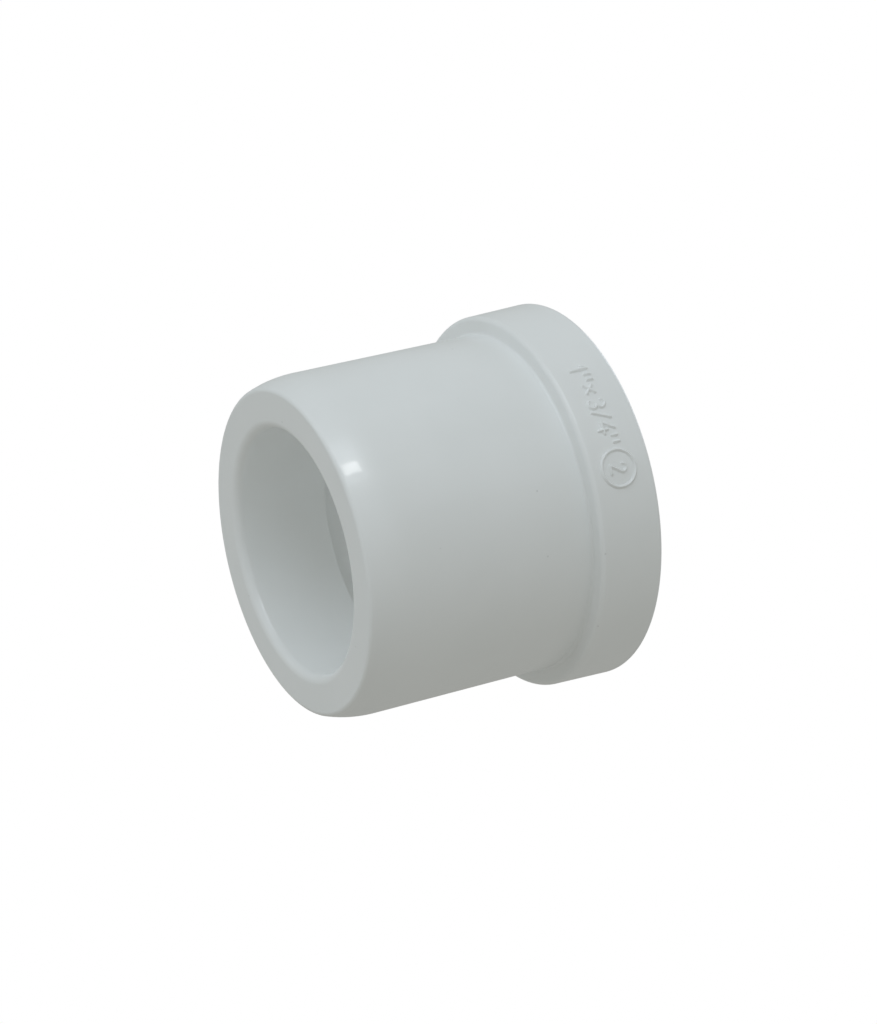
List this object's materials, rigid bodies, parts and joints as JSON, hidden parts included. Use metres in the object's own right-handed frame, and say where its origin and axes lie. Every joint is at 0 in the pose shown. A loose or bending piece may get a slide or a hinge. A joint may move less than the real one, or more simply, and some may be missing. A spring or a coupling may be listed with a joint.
{
  "type": "reducing coupling",
  "caption": "White PVC spigot-by-socket reducer bushing: a smooth spigot with a rounded nose, a plain collar with raised size numerals, and an open bore.",
  "frame": {"origin": "centre of the collar's flat end face, on the pipe axis", "axes": "+Z along the pipe axis from the collar to the spigot's nose; the raised size mark is on the -Y side"},
  "size_m": [0.0372, 0.0374, 0.03],
  "materials": {
    "pvc": "smooth moulded, semi-gloss"
  },
  "bodies": {
    "root": {"collar": "pvc", "spigot_barrel": "pvc", "pipe_stop_nose": "pvc", "size_mark": "pvc", "cavity_mark": "pvc"}
  },
  "joints": []
}
